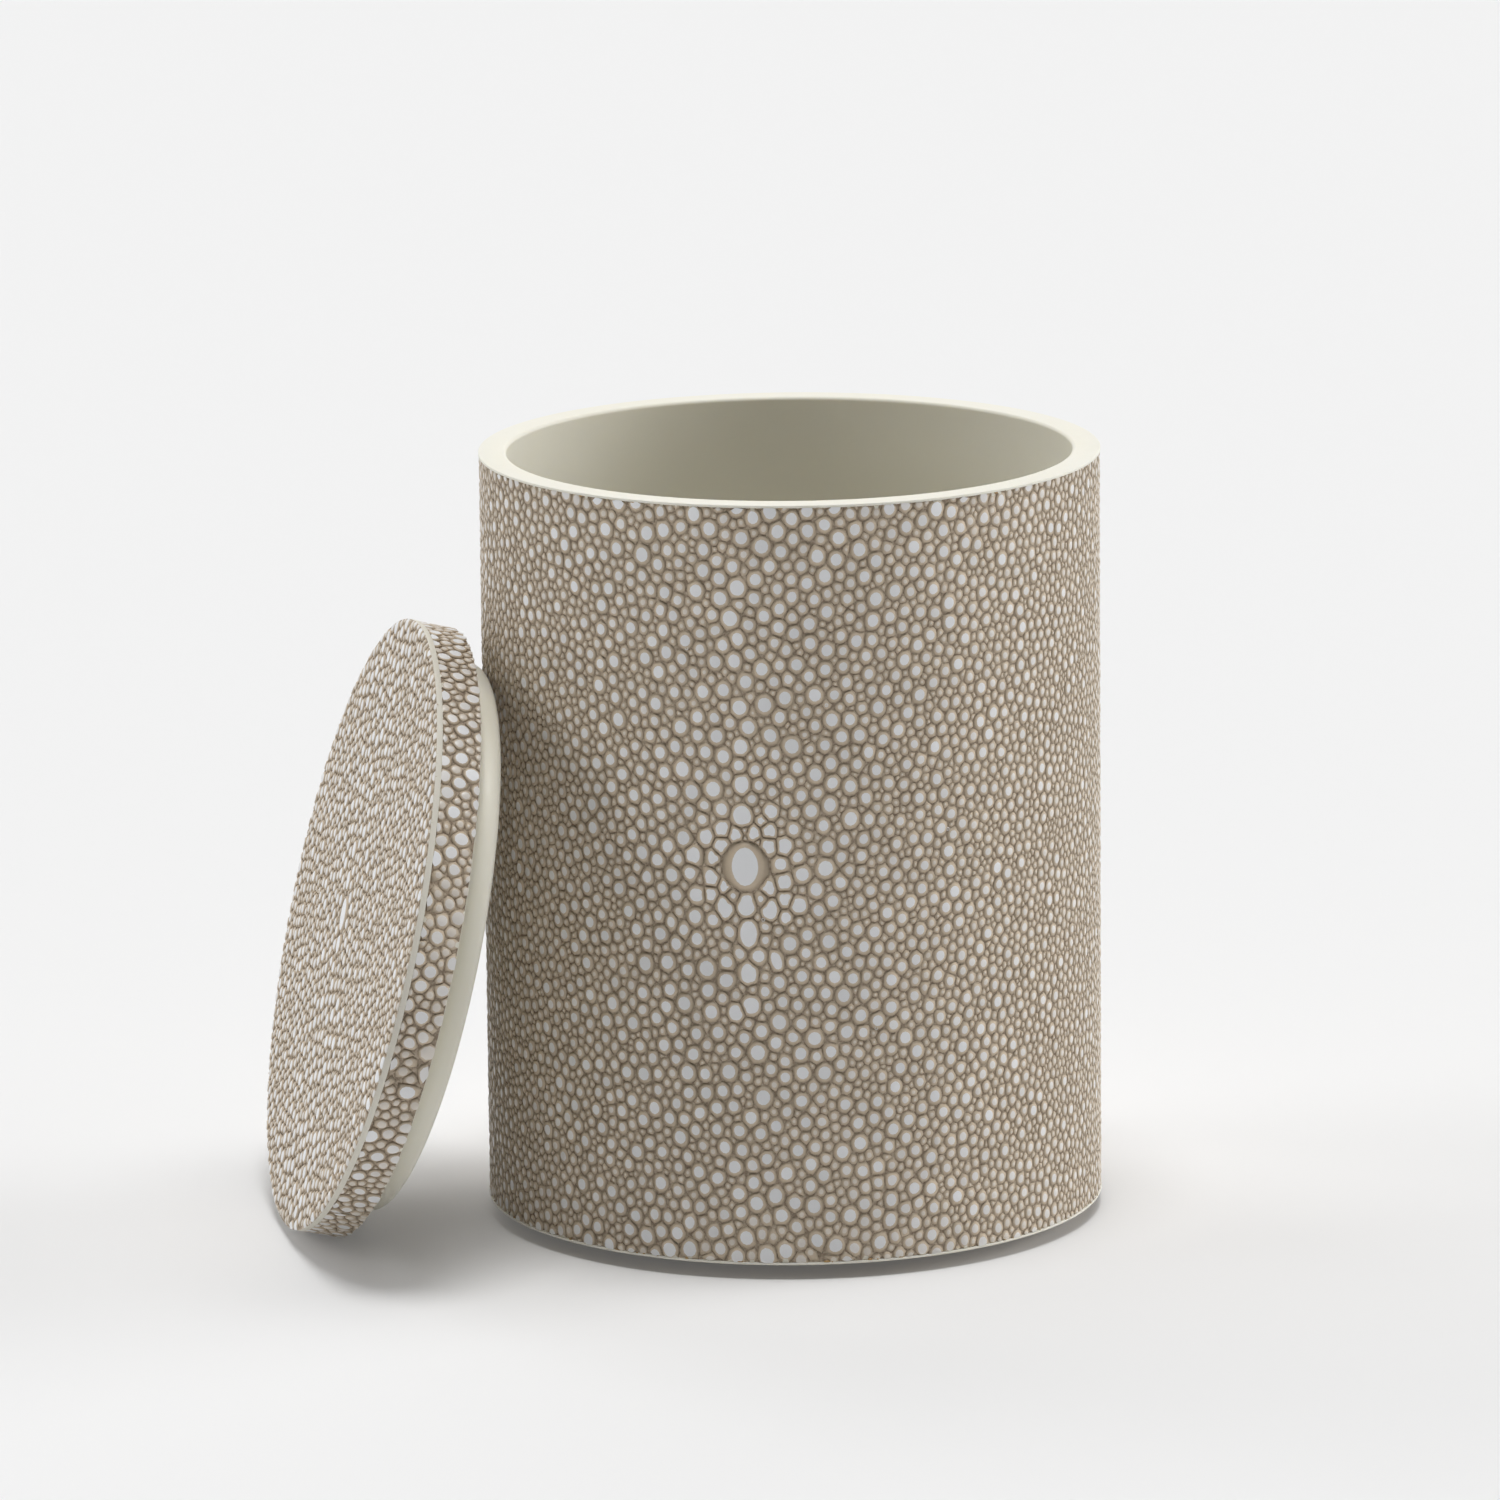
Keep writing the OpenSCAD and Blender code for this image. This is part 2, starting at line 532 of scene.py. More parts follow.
def scattered(seed, low, high, cell_area, spine, large_share):
    """Centres and radii of pebbles over a rectangle. Large ones are drawn at random and
    settled first, then small ones are dropped between them and all settle together, less
    and less swollen. cell_area(centres) is the mean area a pebble takes, and spine holds
    fixed centres and radii (u, v, r) that come first. A pebble's radius is its random size
    times what lets all the discs together fill the covered share of the sheet."""
    rng = np.random.default_rng(seed)
    grid = np.stack(np.meshgrid(*np.linspace(low, high, 80).T), -1).reshape(-1, 2)
    least = cell_area(grid).min()
    count = int((high - low).prod() * (1 / cell_area(grid)).mean())

    def drawn(many):
        tries = rng.uniform(low, high, (many * 4, 2))
        kept = rng.uniform(0, 1, many * 4) < least / cell_area(tries)
        return tries[kept][:many]

    large = int(count * large_share)
    sizes = np.concatenate(
        [
            rng.normal(size_large, size_spread, large).clip(0.7, 1.3),
            rng.normal(size_small, size_spread, count - large).clip(0.26, 0.80),
        ]
    )
    covered = 0.90
    pack = covered / np.pi / (sizes**2).mean()
    held = len(spine)

    def radii_of(centres):
        grown = np.sqrt(cell_area(centres[held:]) * pack)
        return np.concatenate([spine[:, 2], sizes[: len(centres) - held] * grown])

    centres = np.concatenate([spine[:, :2], drawn(large)])
    centres = settled(centres, radii_of, 1.22, 16, held)
    centres = np.concatenate([centres, drawn(count - large)])
    for swell, rounds in ((1.25, 20), (1.10, 15), (1.0, 15)):
        centres = settled(centres, radii_of, swell, rounds, held)
    for _ in range(5):
        centres = centred(centres, radii_of, held)
    return centres, radii_of(centres)


def spine_cells(centres, sites, radii, ways, own):
    """Reach as in cells(), for the long pebbles on the spine, each of which holds three
    sites: steps out along each way until another pebble's site is nearer than its own."""
    steps = np.linspace(0, 6.5 * mm, 131)
    points = centres[:, None, None] + ways[:, :, None] * steps[:, None]
    close = ((centres[:, None] - sites) ** 2).sum(2).argsort(1)[:, :90]
    power = ((points[:, :, :, None] - sites[close][:, None, None]) ** 2).sum(4)
    power -= (radii[close] ** 2)[:, None, None]
    mine = (own[close] == np.arange(len(centres))[:, None])[:, None, None]
    inside = np.where(mine, power, np.inf).min(3) <= np.where(mine, np.inf, power).min(3)
    return steps[np.argmin(inside, axis=2)]


cut_margin = 0.03 * mm


def strip_cut(low, high):
    """A sheet cut to a rectangle: pulls centres inside, and measures to the side ahead."""
    low, high = np.array(low), np.array(high)

    def pulled(centres):
        return centres.clip(low + cut_margin, high - cut_margin)

    def to_edge(centres, ways):
        side = np.where(ways > 0, high - centres[:, None], centres[:, None] - low)
        return (side / np.maximum(np.abs(ways), 1e-6)).min(2)

    return pulled, to_edge


def smooth_round(values):
    """Each value becomes half itself and a quarter of each neighbour round the ring."""
    return values / 2 + (np.roll(values, 1, 1) + np.roll(values, -1, 1)) / 4


def pebbles(seed, low, high, cell_area, spine, cut, stretch, large_share, flank_w):
    """Lays a sheet of pebbles and returns them in groups with as many directions each:
    centres, ways, cell reach, top reach, edge reach, how low the top is, and how small.
    A top is the cell drawn in by its flank and made rounder. A spine row is (u, v, half
    width, half height, lean, squareness, bare flank), all in millimetres and degrees, and
    its top is |x / half width|^squareness + |y / half height|^squareness = 1. The sheet is
    laid with its heights divided by the stretch and drawn out at the end. Pebbles that the
    cut would only just catch are left out."""
    flank_r, spine_flank = 1.46 * mm, 0.57 * mm
    small_below, small_span = 1.4 * mm, 0.6 * mm
    rng = np.random.default_rng(seed + 1)
    pulled, to_edge = cut
    stretch = np.array([1, stretch])
    spine = np.array(spine, float).reshape(-1, 7)
    spine[:, (1, 3)] /= stretch[1]
    count = len(spine)
    lean = np.radians(spine[:, 4])
    along = np.stack([-np.sin(lean), np.cos(lean)], 1)
    offset = (spine[:, 3] - spine[:, 2]).clip(0)[:, None] * along
    middle = spine[:, :2]
    ends = spine[:, 2] * 0.85 + np.minimum(spine[:, 6], 0.75)
    sites = np.concatenate([middle, middle + offset, middle - offset])
    radii = np.concatenate([spine[:, 2] + spine[:, 6], ends, ends])
    fixed = np.column_stack([sites, radii]) * mm
    centres, radii = scattered(
        seed,
        np.array(low) / stretch,
        np.array(high) / stretch,
        lambda c: cell_area(c * stretch) / stretch[1],
        fixed,
        large_share,
    )
    kind = np.arange(len(centres)) >= count * 3
    large = np.arange(len(centres)) < len(fixed) + int((len(centres) - len(fixed)) * large_share)

    moved = pulled(centres * stretch) / stretch
    out = np.sqrt(((moved - centres) ** 2).sum(1))
    kept = ~kind | (out < 0.6 * radii)
    centres, radii, kind, large = moved[kept], radii[kept], kind[kept], large[kept]
    starts = rng.uniform(0, 2 * np.pi, len(centres))
    alive = ~kind | (cells(centres, radii, ways_from(starts, 8)).min(1) > 0.3 * mm)
    centres, radii, kind, large, starts = (x[alive] for x in (centres, radii, kind, large, starts))

    def drawn_out(middle, ways, reach, top, sunk, small):
        edge = to_edge(middle * stretch, ways * stretch)
        return middle * stretch, ways * stretch, reach, top, edge, sunk, small

    groups = []
    for many, chosen in ((directions_large, kind & large), (directions_small, kind & ~large)):
        ways = ways_from(starts, many)
        reach = cells(centres, radii, ways)[chosen].clip(0.1 * mm)
        least = reach.min(1, keepdims=True)
        flank = flank_w * np.sqrt(radii[chosen] / flank_r)[:, None]
        top = smooth_round(smooth_round(np.minimum(reach, 1.3 * least))) - flank
        top = np.minimum(top, reach - 0.6 * flank).clip(0.25 * least)
        small = ((small_below - radii[chosen]) / small_span).clip(0, 1)
        sunk = small * rng.uniform(0.01, 0.12, len(small)) * mm
        groups.append(drawn_out(centres[chosen], ways[chosen], reach, top, sunk, small))
    if count:
        middle = middle * mm
        ways = ways_from(np.zeros(count), directions_spine)
        own = np.where(kind, -1, np.arange(len(centres)) % count)
        reach = spine_cells(middle, centres, radii, ways, own)
        side = (ways * np.stack([np.cos(lean), np.sin(lean)], 1)[:, None]).sum(2)
        up = (ways * along[:, None]).sum(2)
        power = spine[:, 5][:, None]
        half_w, half_h = spine[:, 2:3] - 0.10, spine[:, 3:4] - 0.10
        top = (np.abs(side / half_w) ** power + np.abs(up / half_h) ** power) ** (-1 / power)
        top = np.minimum(top * mm, smooth_round(reach) - spine_flank)
        groups.append(drawn_out(middle, ways, reach, top, np.zeros(count), np.zeros(count)))
    return groups


def pebble_piece(name, groups, inside, placed, map_place, body, relief, rng):
    """Builds each pebble as a closed stone: a middle point, a ring round its flat top, a
    ring on its shoulder, a ring in the valley, and a point under it. Small ones are domed.
    The glaze lies thickest in the corners between pebbles, where the cell reaches farthest.
    Where the sheet's edge comes first, a ring stops there and leaves an upright cut. In the
    map that a bake uses, the undersides lie in a narrow strip below the rest."""
    points, coats, tops, quads, cuts, tones, smalls, spots = [], [], [], [], [], [], [], []
    start = 0
    for centres, ways, reach, top, edge, sunk, small in groups:
        chosen = inside(centres)
        if not chosen.any():
            continue
        centres, ways, reach, top, edge = (x[chosen] for x in (centres, ways, reach, top, edge))
        sunk, small = sunk[chosen][:, None], small[chosen]
        number, many = reach.shape
        dome = (0.012 + 0.05 * small[:, None]) * mm
        shoulder = top + np.minimum(0.36 * (reach - top), 0.17 * mm)
        gone = ((edge - top) / (shoulder - top)).clip(0, 1)
        rings = np.minimum(np.stack([top, shoulder, reach], 1), edge[:, None])
        top_deep = sunk + dome + 0 * top
        shoulder_deep = top_deep + relief * (0.03 + 0.17 * gone)
        deep = np.stack([top_deep, shoulder_deep, relief + 0 * top], 1)
        flat = centres[:, None, None] + rings[:, :, :, None] * ways[:, None]
        flat = flat.reshape(number, 3 * many, 2)
        under = flat[:, 2 * many :].mean(1, keepdims=True)
        flat = np.concatenate([centres[:, None], flat, under], 1)
        deep = np.concatenate([sunk, deep.reshape(number, 3 * many), relief + 0 * sunk], 1)
        corner = ((reach / reach.min(1, keepdims=True) - 1) / 0.45).clip(0, 1)
        bare = np.zeros((number, 1 + many))
        filled = 0.90 + 0.12 * corner
        coat = np.concatenate([bare, 0.45 * gone, filled, np.ones((number, 1))], 1)
        points.append(placed(flat[:, :, 0], flat[:, :, 1], deep).reshape(-1, 3))
        coats.append(coat.ravel())
        spots.append(map_place(flat).reshape(-1, 2))
        each = 3 * many + 2
        base = start + np.arange(number)[:, None] * each
        a = np.arange(many)
        b = (a + 1) % many
        first, second, third = 1, 1 + many, 1 + 2 * many
        top_fan = np.stack([np.zeros(many, int), first + a, first + b], 1)
        low_fan = np.stack([np.full(many, each - 1), third + b, third + a], 1)
        upper = np.stack([first + a, second + a, second + b, first + b], 1)
        lower = np.stack([second + a, third + a, third + b, second + b], 1)
        tops.append((base[:, :, None] + np.concatenate([top_fan, low_fan])).reshape(-1, 3))
        quads.append((base[:, :, None] + np.concatenate([upper, lower])).reshape(-1, 4))
        at_edge = edge < reach
        cut_low = at_edge & np.roll(at_edge, -1, 1)
        cuts.append(np.concatenate([np.zeros_like(cut_low), cut_low], 1).ravel())
        tone = rng.uniform(-1, 1, number)
        if many == directions_spine:
            tone = 0.8 + 0.2 * tone
        tones.append(np.repeat(tone, 2 * many))
        smalls.append(np.repeat(small, 2 * many))
        start += number * each
    triangles = np.concatenate(tops)
    squares = np.concatenate(quads)
    piece = shown(
        name, np.concatenate(points), [triangles, squares], body, "pebbled_sheet", pebble_glaze
    )
    mesh = piece.data
    marked(piece, "coat", "POINT", np.concatenate(coats))
    cut = np.concatenate([np.zeros(len(triangles), bool), np.concatenate(cuts)])
    marked(piece, "cut", "FACE", cut)
    for label, values in (("tone", tones), ("small", smalls)):
        marked(piece, label, "FACE", np.concatenate(values + values))
    flat_top = np.concatenate([*smalls, np.ones(len(squares))]) < 0.5
    mesh.polygons.foreach_set("use_smooth", ~(cut | flat_top))
    corners = np.concatenate([triangles.ravel(), squares.ravel()])
    spot = np.concatenate(spots)[corners]
    under = triangles[:, 0] > triangles[:, 1]
    hidden = np.concatenate([np.repeat(under, 3), np.zeros(squares.size, bool)])
    spot[:, 1] = np.where(hidden, spot[:, 1] * 0.03, 0.05 + 0.95 * spot[:, 1])
    mesh.uv_layers.new(name="OFBake").data.foreach_set("uv", spot.astype(np.float32).ravel())
    return piece


def bake_square(low, high, folds):
    """Lays a rectangle of sheet in the unit square: it is cut across its long side into
    `folds` lengths, and they lie side by side with some room between."""
    low, high = np.array(low), np.array(high)
    room = 2.5 * mm
    long = int(np.argmax(high - low))
    length = (high[long] - low[long]) / folds
    width = high[1 - long] - low[1 - long] + 2 * room

    def laid(flat):
        fold = ((flat[:, :1, long] - low[long]) / length).astype(int).clip(0, folds - 1)
        along = (flat[:, :, long] - low[long] - fold * length + room) / (length + 2 * room)
        across = (flat[:, :, 1 - long] - low[1 - long] + room) / width
        return np.stack([(across + fold) / folds, along], 2).clip(0.002, 0.998)

    return laid


cut_resin = (0.74, 0.71, 0.62, 1)


def glazed(name):
    """Moulded resin pebbles under a brown glaze. The coat attribute runs from the bare top
    to the filled valley, and a fine noise makes the glaze wear unevenly. Small pebbles are
    creamier, because the sanding reaches less of them, and each has its own tone. A cut
    face shows the resin itself."""
    paint = bpy.data.materials.new(name)
    tree = empty_tree(paint)
    coat, cut, tone, small = (
        wired(tree, "ShaderNodeAttribute", attribute_name=label).outputs["Fac"]
        for label in ("coat", "cut", "tone", "small")
    )
    worn = ranged(tree, noise(tree, 1500.0, 3.0, 0.6), 0.3, 0.7, -0.07, 0.07)
    depth = maths(tree, "ADD", coat, worn)

    def glaze_ramp(stops):
        ramp = wired(tree, "ShaderNodeValToRGB", {"Fac": depth})
        ramp.color_ramp.elements[0].position = stops[0][0]
        ramp.color_ramp.elements[0].color = (*stops[0][1], 1)
        ramp.color_ramp.elements[1].position = stops[-1][0]
        ramp.color_ramp.elements[1].color = (*stops[-1][1], 1)
        for position, colour in stops[1:-1]:
            ramp.color_ramp.elements.new(position).color = (*colour, 1)
        return ramp.outputs["Color"]

    flanks = [
        (0.50, (0.58, 0.48, 0.36)),
        (0.88, (0.52, 0.43, 0.322)),
        (0.98, (0.23, 0.172, 0.115)),
    ]
    shoulder = (0.60, 0.508, 0.402)
    white_top = (0.84, 0.85, 0.865)
    creamy_top = (0.70, 0.64, 0.565)
    large_colour = glaze_ramp([(0.11, white_top), (0.19, shoulder), *flanks])
    small_colour = glaze_ramp([(0.07, creamy_top), (0.22, shoulder), *flanks])
    mixed = blended(tree, small, large_colour, small_colour)
    lift = ranged(tree, tone, -1.0, 1.0, 0.93, 1.06)
    varied = wired(tree, "ShaderNodeVectorMath", {0: mixed, 3: lift}, operation="SCALE").outputs[0]
    surfaced(
        tree,
        {
            "Base Color": blended(tree, cut, varied, cut_resin),
            "Roughness": ranged(tree, depth, 0.0, 1.0, 0.30, 0.55),
            "Normal": bumped(tree, noise(tree, 3800.0, 4.0, 0.6), 0.25, 0.03 * mm),
            "IOR": 1.5,
        },
    )
    return paint


def body_cell_area(centres):
    """Mean area of a pebble's cell in square metres: largest along the spine, most of all
    at its middle, and falling off to both sides, faster on the left."""
    away = centres[:, 0] / outer_r
    least = np.where(away < 0, 2.4, 2.0)
    fall = np.where(away < 0, 0.62, 0.78)
    wide = least + (4.7 - least) * np.exp(-((away / fall) ** 2))
    swell = np.exp(-(((centres[:, 1] - 64 * mm) / (28 * mm)) ** 2) - (away / 0.30) ** 2)
    return wide * (1 + 0.18 * swell) * mm**2


# Each of the front's long pebbles and of those round the large one: across, up, half
# width, half height, lean, squareness, and the bare flank at its sides. Most have the
# usual last three.
usual = (0, 2.4, 0.45)
long_pebbles = (
    (0.05, 65.65, 2.2, 3.22, 0, 1.9, 1.78),
    (0.2, 59.45, 1.5, 2.1, 0, 2.8, 0.5),
    (-3.25, 58.95, 1.25, 1.85, 8, 2.4, 0.5),
    (4.0, 58.6, 1.18, 1.8, 0, 2.4, 0.5),
    (-3.0, 62.3, 1.03, 1.07),
    (3.67, 62.15, 1.1, 1.28),
    (-5.5, 63.65, 1.07, 1.35),
    (-5.15, 66.95, 0.86, 1.2),
    (-3.8, 68.95, 1.1, 1.03),
    (-3.7, 71.7, 1.03, 1.4, -15, 2.4, 0.45),
    (-1.3, 70.85, 0.96, 1.2),
    (1.5, 71.0, 1.0, 1.3),
    (-0.35, 74.0, 1.45, 1.75, 30, 2.0, 0.5),
    (3.8, 69.0, 1.2, 1.15),
    (4.0, 71.5, 1.0, 1.2),
    (2.85, 73.3, 0.7, 0.8, 0, 2.2, 0.4),
    (4.3, 74.8, 1.07, 1.1),
    (5.8, 66.15, 0.93, 0.95),
    (6.4, 63.1, 1.07, 1.35),
    (6.5, 69.15, 1.14, 1.35),
    (6.5, 60.4, 0.96, 1.07),
    (-5.65, 60.85, 0.93, 0.96),
    (-8.0, 60.65, 1.18, 1.1),
    (-6.3, 70.35, 1.03, 1.25),
    (-8.5, 67.2, 1.14, 1.35),
    (-5.3, 56.7, 0.86, 0.9),
    (6.6, 57.3, 0.82, 0.93),
    (8.7, 59.35, 1.18, 1.2),
    (-0.35, 79.15, 1.15, 1.6, 0, 2.0, 0.5),
    (-0.45, 85.25, 1.1, 1.35, 0, 2.0, 0.5),
    (0.55, 54.6, 1.4, 2.35, 0, 1.8, 0.5),
    (5.0, 50.25, 0.85, 1.6, 20, 2.0, 0.5),
    (0.5, 48.0, 1.25, 1.75, 0, 2.2, 0.5),
    (0.85, 42.75, 1.3, 1.35, 0, 2.2, 0.5),
    (-1.65, 41.5, 1.15, 1.3, 0, 2.2, 0.5),
    (-0.6, 91.7, 1.15, 1.2, 0, 2.0, 0.5),
    (-2.0, 106.2, 1.2, 1.3, 0, 2.0, 0.5),
    (-0.8, 111.2, 1.2, 1.3, 0, 2.0, 0.5),
)
body_spine = [row + usual[len(row) - 4 :] for row in long_pebbles]
sheet_h = sheet_top - sheet_low
turn_left = seam_turn - spine_turn + half_seam
turn_right = seam_turn + 2 * np.pi - spine_turn - half_seam
strip_low = (turn_left * outer_r, 0)
strip_high = (turn_right * outer_r, sheet_h)
beyond = 1.5 * mm
body_groups = pebbles(
    seed=7,
    low=(strip_low[0] - beyond, -beyond),
    high=(strip_high[0] + beyond, sheet_h + beyond),
    cell_area=body_cell_area,
    spine=body_spine,
    cut=strip_cut(strip_low, strip_high),
    stretch=1.10,
    large_share=0.47,
    flank_w=0.71 * mm,
)
pebble_glaze = glazed("pebble_glaze")


def round_body(across, up, deep):
    """Wraps the flat sheet round the tube: across is arc length from the spine."""
    angle = spine_turn + across / outer_r
    radius = outer_r - deep
    return np.stack([radius * np.cos(angle), radius * np.sin(angle), sheet_low + up], -1)


body_parts = 8
part_w = (strip_high[0] - strip_low[0]) / body_parts
body_tones = np.random.default_rng(21)
for part in range(body_parts):
    part_low = strip_low[0] + part * part_w

    def in_part(centres):
        return (centres[:, 0] >= part_low) & (centres[:, 0] < part_low + part_w)

    pebble_piece(
        f"body_pebbles_{part + 1}",
        body_groups,
        in_part,
        round_body,
        bake_square((part_low, 0), (part_low + part_w, sheet_h), 2),
        "canister",
        valley,
        body_tones,
    )


ground_coat = 0.95
ground_lift = 0.015 * mm
crease = np.radians(35)
turns_round = 361
# An eased profile has seven points at each corner, so its third face starts at this one.
outer_row = 20


def backing(name, profile, angles, placed, body):
    """The sheet under the pebbles: a closed profile of (radius, height) swept from one end
    of the seam to the other and capped there. Its outer face, which starts at the outer
    row of the profile, is deep in glaze, and its other faces are bare cut resin."""
    rows, columns = len(profile), len(angles)
    points = placed(turned_ring(profile, angles))
    quads = ring_faces(rows, columns).reshape(rows, columns, 4)[:, :-1, ::-1]
    cut = np.repeat(np.arange(rows) != outer_row, columns - 1)
    row = np.arange(rows)
    near_end = (row * columns)[::-1][None, :]
    far_end = (row * columns + columns - 1)[None, :]
    faces = [quads.reshape(-1, 4), near_end, far_end]
    piece = shown(name, points, faces, body, "pebbled_sheet", pebble_glaze)
    marked(piece, "cut", "FACE", np.concatenate([cut, [True, True]]))
    marked(piece, "coat", "POINT", np.full(len(points), ground_coat))
    piece.data.set_sharp_from_angle(angle=crease)
    return piece


ground_r = outer_r - valley + ground_lift
body_backing = backing(
    "body_sheet",
    eased(
        [(wall_r, sheet_low), (wall_r, sheet_top), (ground_r, sheet_top), (ground_r, sheet_low)],
        [0.02 * mm, 0.02 * mm, 0.06 * mm, 0.06 * mm],
        hold=0.02 * mm,
    ),
    np.linspace(spine_turn + turn_left, spine_turn + turn_right, turns_round),
    lambda points: points,
    "canister",
)
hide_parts("body_skin")


# Beads of amber glue were squeezed out under the rim's lip and over the foot's lip, and
# dried there. Each is a small flat drop that sits in the corner between lip and pebbles.
# Finer specks of it are strewn along the foot.
rim_turns = np.radians([-142.8, -131, -103.3, -83.3, -61, 20])
foot_turns = np.radians([-148, -122, -112, -96, -88, -40, 130])
speck_count = 46
drop_rows, drop_columns = 7, 12


def copied(faces, copies, each):
    """The same faces for every copy of a form that has this many points."""
    first = np.arange(copies)[:, None, None] * each
    return [(first + f).reshape(-1, f.shape[1]) for f in faces]


def drops(turns, heights, sizes):
    """A unit ball for each place, flattened: its half width, half height and half depth
    scale it, and it is set on the body's side at that turn and height."""
    latitude = np.linspace(-np.pi / 2, np.pi / 2, drop_rows)
    around = np.arange(drop_columns) * 2 * np.pi / drop_columns
    ball, faces = turned_disc(np.stack([np.cos(latitude), np.sin(latitude)], 1), around)
    out = np.stack([np.cos(turns), np.sin(turns), 0 * turns], 1)
    aside = np.stack([-np.sin(turns), np.cos(turns), 0 * turns], 1)
    middle = out * (outer_r - sizes[:, 2] * 1.1)[:, None] + [0, 0, 1] * heights[:, None]
    points = middle[:, None] + ball[:, :1] * (out * sizes[:, 2:])[:, None]
    points = points + ball[:, 1:2] * (aside * sizes[:, :1])[:, None]
    points = points + ball[:, 2:] * np.array([0, 0, 1]) * sizes[:, None, 1:2]
    return points.reshape(-1, 3), copied(faces, len(turns), len(ball))


def amber():
    """Dried glue: a clear warm brown with a wet shine, darker where noise makes it thick."""
    paint = bpy.data.materials.new("amber_glue")
    tree = empty_tree(paint)
    shade = blended(tree, noise(tree, 900.0), (0.62, 0.42, 0.18, 1), (0.28, 0.16, 0.06, 1))
    surfaced(tree, {"Base Color": shade, "Roughness": 0.25, "IOR": 1.5})
    return paint


glue_draws = np.random.default_rng(71)
bead_count = len(rim_turns) + len(foot_turns)
beads = glue_draws.uniform((0.25, 0.10, 0.10), (0.65, 0.22, 0.20), (bead_count, 3)) * mm
specks = glue_draws.uniform((0.10, 0.07, 0.08), (0.30, 0.15, 0.14), (speck_count, 3)) * mm
speck_turns = glue_draws.uniform(-np.pi, np.pi, speck_count)
glue_turns = np.concatenate([rim_turns, foot_turns, speck_turns])
glue_sizes = np.concatenate([beads, specks])
glue_heights = sheet_low + 0.6 * glue_sizes[:, 1]
glue_heights[: len(rim_turns)] = sheet_top - 0.6 * glue_sizes[: len(rim_turns), 1]
glue_points, glue_faces = drops(glue_turns, glue_heights, glue_sizes)
shown("glue_beads", glue_points, glue_faces, "canister", "cream_resin", amber())


# Where a bubble of air was caught in the moulding, a pebble's flank has a pinhole: a small
# pale ring round a dark hole.
pinholes = ((2.93, 56.94), (-15.5, 11.7), (13.4, 92.0), (21.2, 38.5), (-9.3, 101.0), (34.0, 70.2))
pinhole_r = 0.34 * mm
pinhole_depth = 0.18 * mm
pinhole_columns = 12


def craters(places):
    """A crater turned round its own axis at each place: closed under the sheet's surface, up
    outside to a rounded rim, and down inside to the middle of its floor."""
    outside = [(0, -0.95), (1.0, -0.95), (1.0, -0.30), (0.80, 0.12)]
    profile = np.array([*outside, (0.65, 0.15), (0.34, -0.45), (0, -0.45)])
    around = np.arange(pinhole_columns) * 2 * np.pi / pinhole_columns
    one, faces = turned_disc(profile * pinhole_r, around)
    across = places[:, :1] * mm + one[:, 0]
    up = places[:, 1:] * mm + one[:, 1]
    points = round_body(across, up, pinhole_depth - one[:, 2] + 0 * across).reshape(-1, 3)
    coat = np.repeat([0.9, 0.5, 0.0, 0.0, 0.98], pinhole_columns)
    coat = np.concatenate([coat, [0.9, 1.0]])
    return points, copied(faces, len(places), len(one)), np.tile(coat, len(places))


hole_points, hole_faces, hole_coat = craters(np.array(pinholes))
holes = shown(
    "body_pinholes", hole_points, hole_faces, "canister", "pebbled_sheet", pebble_glaze
)
marked(holes, "coat", "POINT", hole_coat)


# The lid is a second casting: a disc as wide as the tube, its lower edge eased. It is off,
# stands on its edge and leans on the canister, where its plug touches the sheet.
lean = np.radians(13.9)
lean_gap = 0.3 * mm
plug_r = 45.7 * mm
plug_t = 5 * mm
plug_round = 1 * mm
core_t = 6.5 * mm
lid_t = core_t + sheet_t
lid_up = np.array([np.sin(lean), 0, np.cos(lean)])
lid_out = np.array([-np.cos(lean), 0, np.sin(lean)])
lid_back = outer_r + lean_gap + plug_round
lid_back += (plug_r - plug_round) * np.sin(lean) + (plug_t - plug_round) * np.cos(lean)
lid_middle = np.array([-lid_back, 0, outer_r * np.cos(lean)])


def leaning(points):
    """Takes points from the lid's own frame, whose axis is its own, to where it leans."""
    own_axes = np.stack([lid_up, np.array([0, 1, 0]), lid_out])
    return lid_middle + points @ own_axes


def leaning_disc(name, profile, slot, material):
    """A disc of the lid, turned round the lid's own axis and leaning with it."""
    points, faces = turned_disc(profile, angles)
    return shown(name, leaning(points), faces, "lid", slot, material)


core_profile = np.array(
    [
        (0, 0),
        (plug_r, 0),
        (wall_r - 0.1 * mm, 0),
        (wall_r - 0.03 * mm, 0.03 * mm),
        (wall_r, 0.1 * mm),
        (wall_r, core_t),
        (0, core_t),
    ]
)
lid_core = leaning_disc("resin_lid", core_profile, "cream_resin", cream)
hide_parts("lid_core")


# The plug is a thinner disc of the same resin on the lid's underside. It drops into the
# mouth with a little clearance all round, and its lower edge is rounded to find its way.
plug_hold = 0.15 * mm
bend = np.linspace(0, np.pi / 2, 9)
plug_arc = [plug_r - plug_round * (1 - np.sin(bend)), plug_round * (1 - np.cos(bend)) - plug_t]
plug_profile = np.concatenate(
    [
        [(0, -plug_t), (plug_r - plug_round - plug_hold, -plug_t)],
        np.stack(plug_arc, 1),
        [(plug_r, -plug_t + plug_round + plug_hold), (plug_r, 0), (0, 0)],
    ]
)
lid_plug = leaning_disc("resin_plug", plug_profile, "cream_resin", cream)
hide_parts("lid_plug")


